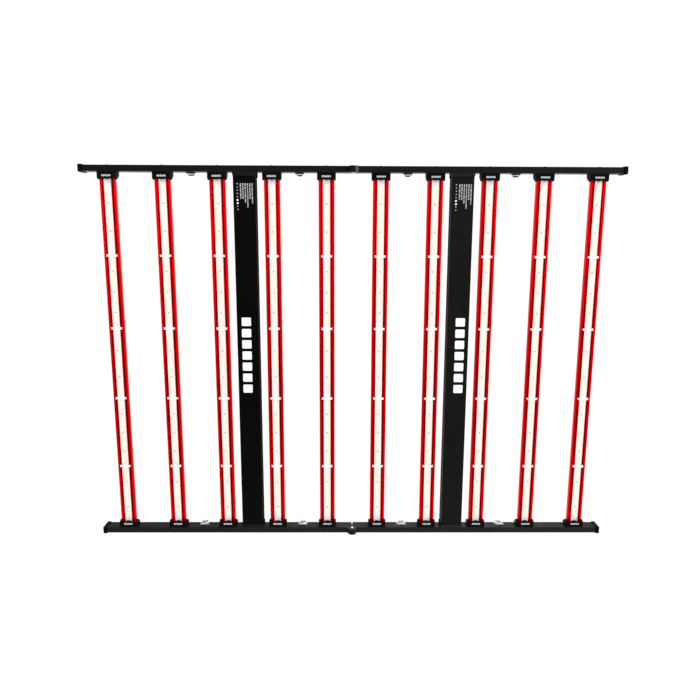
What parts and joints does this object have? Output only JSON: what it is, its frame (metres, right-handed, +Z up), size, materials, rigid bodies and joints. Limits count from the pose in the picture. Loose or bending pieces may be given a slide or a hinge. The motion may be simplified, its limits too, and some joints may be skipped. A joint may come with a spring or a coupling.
{
  "type": "led grow light",
  "caption": "Folding bar-type LED grow light: finned light bars and driver housings span two hinged cross rails that hang from swinging rings.",
  "frame": {"origin": "centre of the footprint, at the lowest point of the hinge knuckles, in the open hanging position", "axes": "+X along the cross rails, +Y along the light bars towards the far rail, +Z up towards the hanging side; the LEDs face -Z"},
  "size_m": [1.66, 1.1914, 0.0641],
  "materials": {
    "rail_black": "satin black powder coat",
    "moulded_black": "fine-textured black moulding",
    "heat_sink_red": "bright red anodised extrusion",
    "board_white": "white solder mask, satin",
    "housing_black": "satin black powder coat",
    "driver_case": "plain drawn aluminium case",
    "ring_steel": "bright plated steel"
  },
  "bodies": {
    "left_half": {"rail_far_left": "rail_black", "end_cap_far_left": "moulded_black", "rail_near_left": "rail_black", "end_cap_near_left": "moulded_black", "heat_sink_01": "heat_sink_red", "led_board_01": "board_white", "socket_far_01": "moulded_black", "socket_near_01": "moulded_black", "heat_sink_02": "heat_sink_red", "led_board_02": "board_white", "socket_far_02": "moulded_black", "socket_near_02": "moulded_black", "heat_sink_03": "heat_sink_red", "led_board_03": "board_white", "socket_far_03": "moulded_black", "socket_near_03": "moulded_black", "heat_sink_04": "heat_sink_red", "led_board_04": "board_white", "socket_far_04": "moulded_black", "socket_near_04": "moulded_black", "heat_sink_05": "heat_sink_red", "led_board_05": "board_white", "socket_far_05": "moulded_black", "socket_near_05": "moulded_black", "driver_housing_left": "housing_black", "led_driver_left": "driver_case"},
    "right_half": {"rail_far_right": "rail_black", "end_cap_far_right": "moulded_black", "rail_near_right": "rail_black", "end_cap_near_right": "moulded_black", "heat_sink_06": "heat_sink_red", "led_board_06": "board_white", "socket_far_06": "moulded_black", "socket_near_06": "moulded_black", "heat_sink_07": "heat_sink_red", "led_board_07": "board_white", "socket_far_07": "moulded_black", "socket_near_07": "moulded_black", "heat_sink_08": "heat_sink_red", "led_board_08": "board_white", "socket_far_08": "moulded_black", "socket_near_08": "moulded_black", "heat_sink_09": "heat_sink_red", "led_board_09": "board_white", "socket_far_09": "moulded_black", "socket_near_09": "moulded_black", "heat_sink_10": "heat_sink_red", "led_board_10": "board_white", "socket_far_10": "moulded_black", "socket_near_10": "moulded_black", "driver_housing_right": "housing_black", "led_driver_right": "driver_case"},
    "ring_near_left_inner": {"hanging_ring_near_left_inner": "ring_steel"},
    "ring_near_left_outer": {"hanging_ring_near_left_outer": "ring_steel"},
    "ring_near_right_inner": {"hanging_ring_near_right_inner": "ring_steel"},
    "ring_near_right_outer": {"hanging_ring_near_right_outer": "ring_steel"},
    "ring_far_left_inner": {"hanging_ring_far_left_inner": "ring_steel"},
    "ring_far_left_outer": {"hanging_ring_far_left_outer": "ring_steel"},
    "ring_far_right_inner": {"hanging_ring_far_right_inner": "ring_steel"},
    "ring_far_right_outer": {"hanging_ring_far_right_outer": "ring_steel"}
  },
  "joints": [
    {"name": "fold", "type": "hinge", "parent": "left_half", "child": "right_half", "pos_m": [0, 0, 0.0135], "axis": [0, 1, 0], "range_deg": [0, 180]},
    {"name": "ring_near_left_inner_swing", "type": "hinge", "parent": "left_half", "child": "ring_near_left_inner", "pos_m": [-0.166, -0.5695, 0.0516], "axis": [1, 0, 0], "range_deg": [0, 190]},
    {"name": "ring_near_left_outer_swing", "type": "hinge", "parent": "left_half", "child": "ring_near_left_outer", "pos_m": [-0.498, -0.5695, 0.0516], "axis": [1, 0, 0], "range_deg": [0, 190]},
    {"name": "ring_near_right_inner_swing", "type": "hinge", "parent": "right_half", "child": "ring_near_right_inner", "pos_m": [0.166, -0.5695, 0.0516], "axis": [1, 0, 0], "range_deg": [0, 190]},
    {"name": "ring_near_right_outer_swing", "type": "hinge", "parent": "right_half", "child": "ring_near_right_outer", "pos_m": [0.498, -0.5695, 0.0516], "axis": [1, 0, 0], "range_deg": [0, 190]},
    {"name": "ring_far_left_inner_swing", "type": "hinge", "parent": "left_half", "child": "ring_far_left_inner", "pos_m": [-0.166, 0.5695, 0.0516], "axis": [-1, 0, 0], "range_deg": [0, 190]},
    {"name": "ring_far_left_outer_swing", "type": "hinge", "parent": "left_half", "child": "ring_far_left_outer", "pos_m": [-0.498, 0.5695, 0.0516], "axis": [-1, 0, 0], "range_deg": [0, 190]},
    {"name": "ring_far_right_inner_swing", "type": "hinge", "parent": "right_half", "child": "ring_far_right_inner", "pos_m": [0.166, 0.5695, 0.0516], "axis": [-1, 0, 0], "range_deg": [0, 190]},
    {"name": "ring_far_right_outer_swing", "type": "hinge", "parent": "right_half", "child": "ring_far_right_outer", "pos_m": [0.498, 0.5695, 0.0516], "axis": [-1, 0, 0], "range_deg": [0, 190]}
  ]
}
